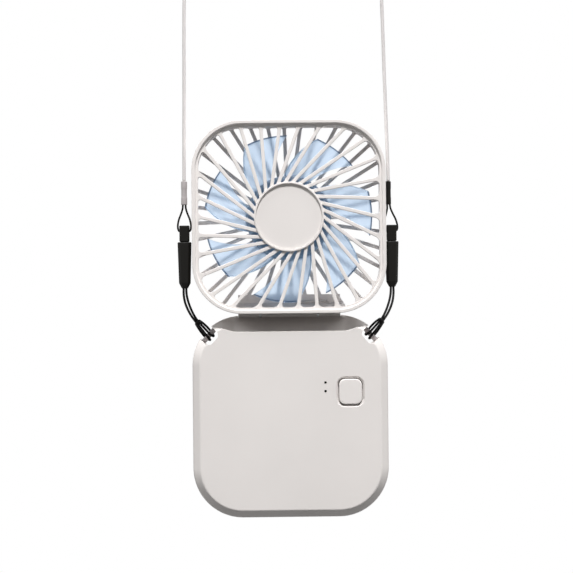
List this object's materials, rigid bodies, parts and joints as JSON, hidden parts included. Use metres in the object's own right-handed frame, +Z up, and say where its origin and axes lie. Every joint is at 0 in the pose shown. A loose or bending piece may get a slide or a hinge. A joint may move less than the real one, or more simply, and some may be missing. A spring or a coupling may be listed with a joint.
{
  "type": "handheld fan",
  "caption": "Square folding neck fan: a caged fan head hinged on a battery base of the same outline, hung from a neck string by quick-release buckles.",
  "frame": {"origin": "crown of the neck string, where it goes round the neck that carries the fan", "axes": "+Z up along the hanging fan, -Y the way the air blows and the face with the button looks, +X to the right as that face is seen"},
  "size_m": [0.1035, 0.027, 0.2943],
  "materials": {
    "shell": "satin",
    "cap": "satin",
    "blade": "translucent gloss",
    "string": "braided",
    "black_cord": "braided",
    "grey_plastic": "satin",
    "black_plastic": "satin",
    "steel": "bright",
    "brass": "bright",
    "winding": "enamelled",
    "board": "satin",
    "cell": "foil",
    "pad": "foam",
    "lead": "satin",
    "magnet": "sintered"
  },
  "bodies": {
    "base": {"base_front_cover": "shell", "base_back_cover": "shell", "base_screw_upper_left": "steel", "base_screw_upper_right": "steel", "base_screw_lower_left": "steel", "base_screw_lower_right": "steel", "circuit_board": "board", "tact_switch": "black_plastic", "status_light_upper": "black_plastic", "status_light_lower": "black_plastic", "charging_socket": "steel", "charging_socket_tongue": "black_plastic", "control_chip": "black_plastic", "charging_coil": "magnet", "battery_cell": "cell", "battery_pad": "pad", "battery_lead": "lead", "motor_lead_lower": "lead", "hinge_washer_left": "steel", "hinge_washer_right": "steel", "lanyard_pin_left": "grey_plastic", "lanyard_pin_right": "grey_plastic", "buckle_body_left": "black_plastic", "buckle_body_right": "black_plastic", "lower_loop_left": "black_cord", "lower_loop_right": "black_cord"},
    "button": {"power_button": "shell", "switch_plunger": "black_plastic"},
    "head": {"head_front_cover": "shell", "hub_cap": "cap", "head_back_cover": "shell", "bearing_sleeve": "brass", "wound_stator": "winding", "motor_board": "board", "motor_lead_upper": "lead", "hinge_pin": "steel", "hinge_tube": "steel"},
    "rotor": {"impeller": "blade", "rotor_yoke": "steel", "magnet_ring": "magnet", "motor_shaft": "steel"},
    "lanyard": {"neck_string": "string", "ferrule_left": "grey_plastic", "ferrule_right": "black_plastic", "upper_loop_left": "black_cord", "upper_loop_right": "black_cord", "buckle_tip_left": "black_plastic", "buckle_tip_right": "black_plastic"}
  },
  "joints": [
    {"name": "head_fold", "type": "hinge", "parent": "base", "child": "head", "pos_m": [0, 0.01, -0.19985], "axis": [-1, 0, 0], "range_deg": [-15, 180]},
    {"name": "fan_spin", "type": "hinge", "parent": "head", "child": "rotor", "pos_m": [0, 0, -0.155], "axis": [0, -1, 0], "continuous": true},
    {"name": "button_press", "type": "slide", "parent": "base", "child": "button", "axis": [0, 1, 0], "range_m": [0, 0.0005], "stiffness_N_per_m": 2000},
    {"name": "buckle_release", "type": "slide", "parent": "base", "child": "lanyard", "axis": [0, 0, 1], "range_m": [0, 0.016]}
  ]
}
